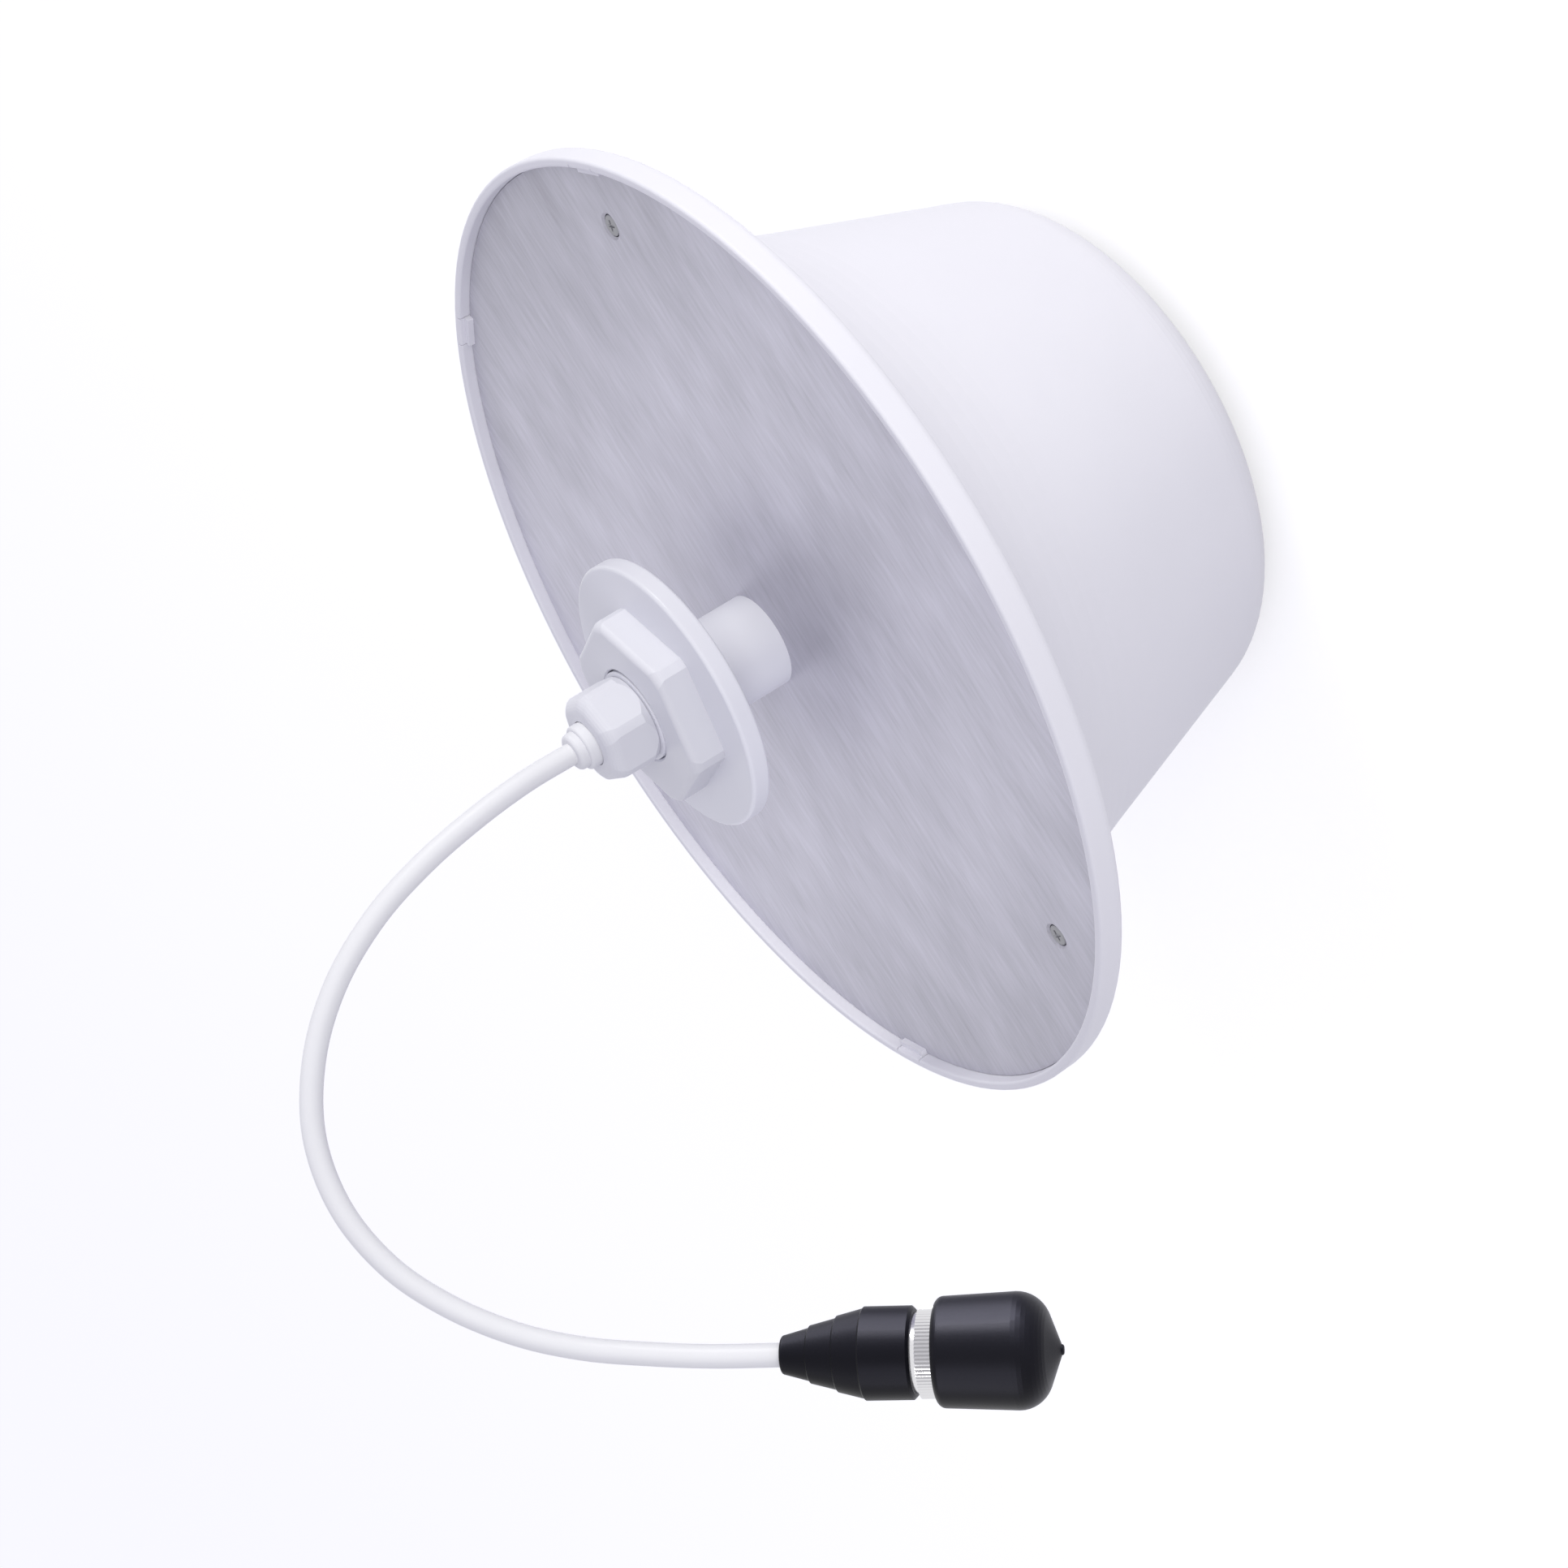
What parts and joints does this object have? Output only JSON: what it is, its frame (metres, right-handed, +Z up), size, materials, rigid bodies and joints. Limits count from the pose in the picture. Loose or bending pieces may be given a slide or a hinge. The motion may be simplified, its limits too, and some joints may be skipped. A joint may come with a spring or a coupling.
{
  "type": "ceiling antenna",
  "caption": "White hat-shaped indoor dome antenna with a brushed ground plane, a clamping stem with washer and nut, and a short coaxial tail with a capped connector.",
  "frame": {"origin": "on the stem's axis, in the plane of the rim face that meets the ceiling", "axes": "+Z up along the stem into the ceiling, the dome hangs along -Z, one fixing hole lies on +Y"},
  "size_m": [0.2238, 0.186, 0.199],
  "materials": {
    "radome_plastic": "satin moulded white",
    "fitting_plastic": "smooth moulded white",
    "seal_rubber": "soft white seal",
    "cable_jacket": "smooth white sheath",
    "brushed_plate": "brushed in one direction",
    "tinned_copper": "tinned copper braid",
    "insulator": "waxy white",
    "brass": "turned",
    "zinc_steel": "zinc plated",
    "tinplate": "bright sheet",
    "nickel": "bright nickel",
    "boot_rubber": "satin black",
    "cap_vinyl": "dipped satin black"
  },
  "bodies": {
    "antenna": {"radome": "radome_plastic", "ground_plane": "brushed_plate", "stem": "fitting_plastic", "gland_nut": "fitting_plastic", "gland_seal": "seal_rubber", "cable": "cable_jacket", "feed_braid": "tinned_copper", "feed_dielectric": "insulator", "feed_conductor": "brass", "ground_tag": "brass", "lock_nut": "zinc_steel", "feed_pin": "brass", "radiator_cone": "tinplate", "radiator_disc": "tinplate", "weld_studs": "zinc_steel", "standoffs": "insulator", "standoff_screws": "zinc_steel", "shorting_straps": "tinplate", "connector_boot": "boot_rubber", "crimp_ferrule": "nickel", "connector_body": "nickel", "connector_insulator": "insulator", "connector_contact": "brass"},
    "clamp_washer": {"clamp_washer": "fitting_plastic"},
    "clamp_nut": {"clamp_nut": "fitting_plastic"},
    "dust_cap": {"dust_cap": "cap_vinyl"}
  },
  "joints": [
    {"name": "clamp_travel", "type": "slide", "parent": "antenna", "child": "clamp_washer", "axis": [0, 0, 1], "range_m": [-0.006, 0]},
    {"name": "nut_turn", "type": "hinge", "parent": "clamp_washer", "child": "clamp_nut", "pos_m": [0, 0, 0.0225], "axis": [0, 0, 1], "range_deg": [-1080, 0]},
    {"name": "cap_pull", "type": "slide", "parent": "antenna", "child": "dust_cap", "axis": [-0.4673, -0.5098, -0.7223], "range_m": [0, 0.016]}
  ],
  "couplings": [
    {"joint": "nut_turn", "follows": "clamp_travel", "rad_per_m": 3141}
  ]
}
